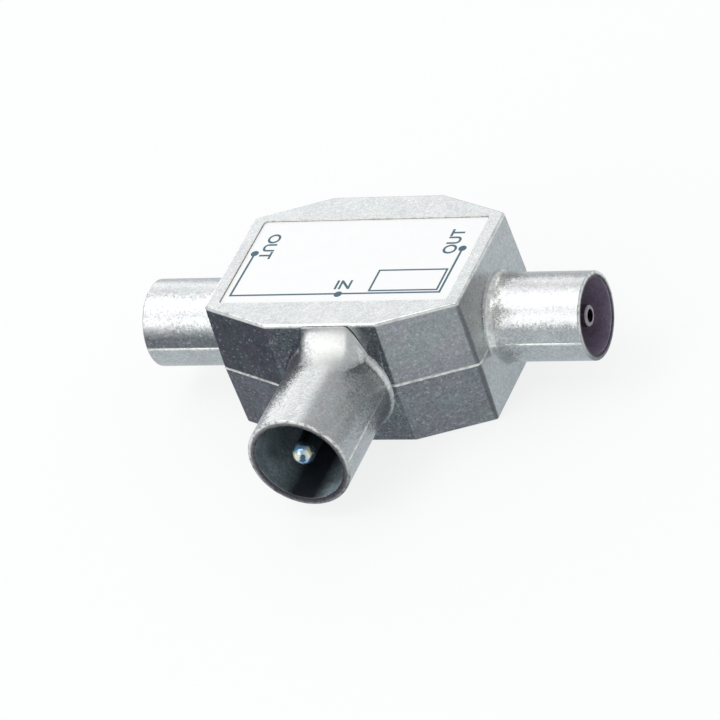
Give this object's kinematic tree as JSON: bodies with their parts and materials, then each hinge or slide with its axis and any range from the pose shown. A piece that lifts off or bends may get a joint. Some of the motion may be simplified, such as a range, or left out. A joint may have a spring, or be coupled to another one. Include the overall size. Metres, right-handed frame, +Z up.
{
  "type": "coaxial splitter",
  "caption": "Octagonal nickel-plated die-cast coaxial splitter with slim output sleeves in line on its ends, a wider input shell on its front and a printed label on top.",
  "frame": {"origin": "middle of the flat underside, straight below the crossing of the port axes", "axes": "+X along the right output sleeve, -Y out of the input shell, +Z up through the label"},
  "size_m": [0.0516, 0.0353, 0.0158],
  "materials": {
    "plated_casting": "nickel plating over a fine-grained zinc casting",
    "plated_sheet": "nickel-plated pressed sheet",
    "label_film": "printed film",
    "insulator_plastic": "moulded plastic",
    "plated_contact": "bright nickel plating over turned metal",
    "board_laminate": "resin laminate",
    "ferrite": "sintered and tumbled",
    "enamelled_wire": "enamelled copper wire",
    "resistor_coating": "dipped coating",
    "capacitor_coating": "dipped coating",
    "tinned_wire": "tinned copper wire",
    "solder": "soft solder"
  },
  "bodies": {
    "root": {"housing": "plated_casting", "cover_plate": "plated_sheet", "label": "label_film", "input_insulator": "insulator_plastic", "output_insulator_right": "insulator_plastic", "output_insulator_left": "insulator_plastic", "input_contact": "plated_contact", "output_contact_right": "plated_contact", "output_contact_left": "plated_contact", "circuit_board": "board_laminate", "matching_core": "ferrite", "matching_winding": "enamelled_wire", "splitting_core": "ferrite", "splitting_winding_left": "enamelled_wire", "splitting_winding_right": "enamelled_wire", "balance_resistor": "resistor_coating", "balance_resistor_leads": "tinned_wire", "coupling_capacitor": "capacitor_coating", "coupling_capacitor_leads": "tinned_wire", "trimming_capacitor": "capacitor_coating", "trimming_capacitor_leads": "tinned_wire", "contact_solder": "solder", "lead_solder": "solder", "ground_solder": "solder"}
  },
  "joints": []
}
